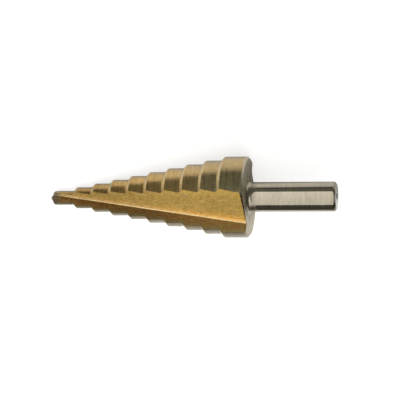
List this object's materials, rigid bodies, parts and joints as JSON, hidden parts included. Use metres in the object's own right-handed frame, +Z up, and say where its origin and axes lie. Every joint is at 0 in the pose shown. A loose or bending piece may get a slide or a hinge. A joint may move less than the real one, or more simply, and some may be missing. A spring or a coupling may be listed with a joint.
{
  "type": "step drill",
  "caption": "Straight-flute stepped cone drill for thin sheet metal: stepped cutting cone on a round shank with flats for a drill chuck.",
  "frame": {"origin": "middle of the drill's outline, on the surface that it lies on", "axes": "+Z up from that surface; +X from the point towards the shank's end, level with the surface; the drill's own axis is in the XZ plane and rises 8.1 degrees towards the shank"},
  "size_m": [0.0788, 0.0214, 0.0185],
  "materials": {
    "tool_steel": "ground high-speed steel, with a gold titanium nitride coating on the cutting part and bare on the shank"
  },
  "bodies": {
    "root": {"step_drill": "tool_steel"}
  },
  "joints": []
}
